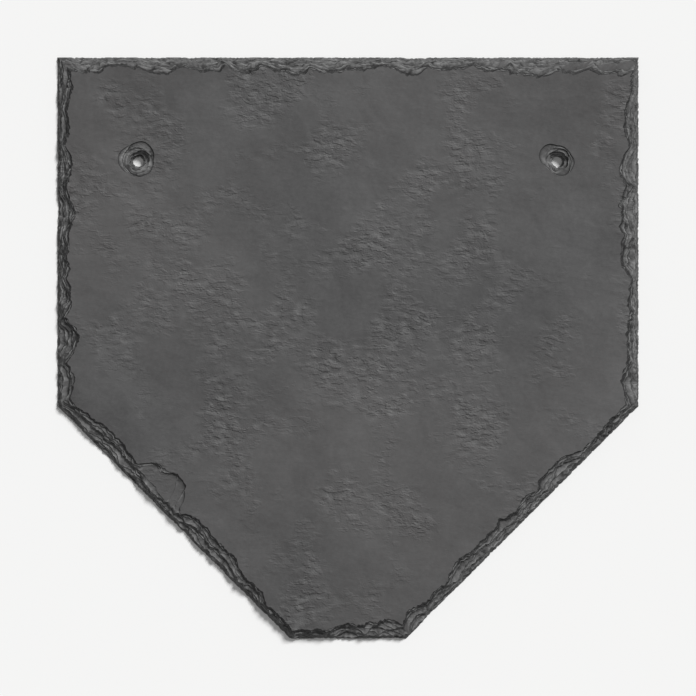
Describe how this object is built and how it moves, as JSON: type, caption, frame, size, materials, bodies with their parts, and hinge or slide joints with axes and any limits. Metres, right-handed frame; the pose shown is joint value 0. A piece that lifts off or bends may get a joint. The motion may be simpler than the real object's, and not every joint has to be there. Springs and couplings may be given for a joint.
{
  "type": "slate tile",
  "caption": "Flat split slate with its lower corners cut off at 45 degrees, chipped bevelled edges and punched nail holes, laid in laps on a roof or wall in a honeycomb pattern.",
  "frame": {"origin": "middle of the bed (the back), on the surface that the slate lies on", "axes": "+Z out of the face, +Y from the tail to the head, +X across the slate"},
  "size_m": [0.25, 0.25, 0.005],
  "materials": {
    "slate": "split, matt"
  },
  "bodies": {
    "root": {"slate": "slate"}
  },
  "joints": []
}
